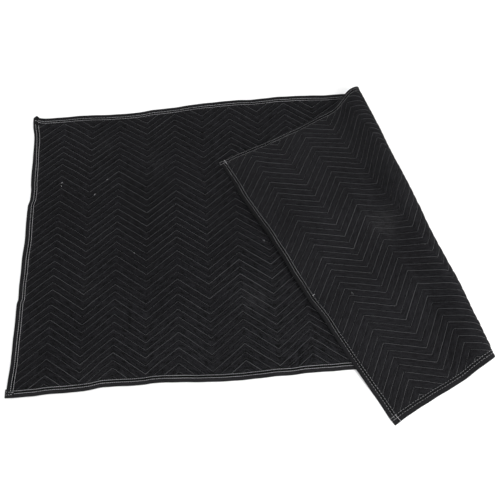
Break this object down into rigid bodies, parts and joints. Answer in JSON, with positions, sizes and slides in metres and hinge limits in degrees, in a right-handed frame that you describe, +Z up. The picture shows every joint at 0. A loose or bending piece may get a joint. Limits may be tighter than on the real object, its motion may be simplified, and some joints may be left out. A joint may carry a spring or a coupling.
{
  "type": "moving pad",
  "caption": "Half-size quilted moving pad with a bound edge all round, laid flat with one end folded over along a slanting crease.",
  "frame": {"origin": "centre of the folded pad's bounding box, on the floor that it lies on", "axes": "+X along the pad's length from the flat left end towards the crease, +Y across its width away from the viewer, +Z up from the floor"},
  "size_m": [1.4363, 1.1882, 0.0689],
  "materials": {
    "quilted_cloth": "matt black quilted cloth with thin grey zigzag stitching",
    "binding_tape": "matt black woven tape with two rows of light grey stitching"
  },
  "bodies": {
    "root": {"quilted_panel": "quilted_cloth", "binding_near": "binding_tape", "binding_far": "binding_tape", "binding_left": "binding_tape", "binding_free_end": "binding_tape"}
  },
  "joints": []
}
